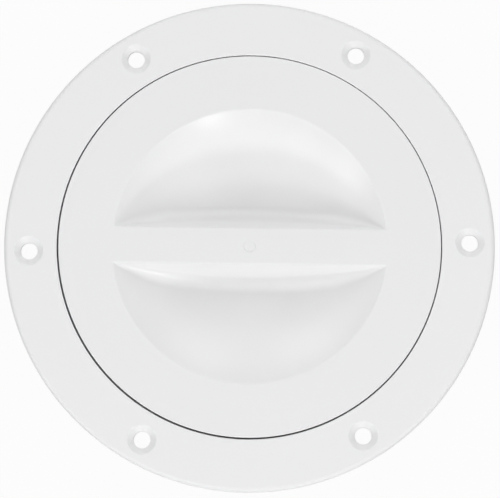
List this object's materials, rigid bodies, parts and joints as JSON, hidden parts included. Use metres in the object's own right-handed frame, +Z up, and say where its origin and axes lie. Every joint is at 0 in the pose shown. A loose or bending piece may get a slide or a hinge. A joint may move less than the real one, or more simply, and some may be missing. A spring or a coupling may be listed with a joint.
{
  "type": "access hatch",
  "caption": "Round flush deck access hatch: a countersunk mounting ring and a screw-in lid with a dished middle and a grip bar, sealed by a flat rubber ring.",
  "frame": {"origin": "centre of the screw circle, on the face of the flange that lies on the deck", "axes": "+Z up out of the deck along the axis of the ring, +X through one of the screw holes and nearly along the grip bar, -Y towards the viewer of the picture"},
  "size_m": [0.146, 0.146, 0.0225],
  "materials": {
    "ring_plastic": "white moulded plastic, satin",
    "lid_plastic": "white moulded plastic, satin",
    "seal_rubber": "black rubber"
  },
  "bodies": {
    "ring": {"mounting_ring": "ring_plastic"},
    "seal": {"seal_ring": "seal_rubber"},
    "lid": {"screw_lid": "lid_plastic"}
  },
  "joints": [
    {"name": "lid_rise", "type": "slide", "parent": "ring", "child": "seal", "axis": [0, 0, 1], "range_m": [0, 0.026]},
    {"name": "lid_turn", "type": "hinge", "parent": "seal", "child": "lid", "pos_m": [0.0001, 0.00012, 0], "axis": [0, 0, 1], "range_deg": [0, 1800]}
  ],
  "couplings": [
    {"joint": "lid_rise", "follows": "lid_turn", "m_per_rad": 0.00079577}
  ]
}
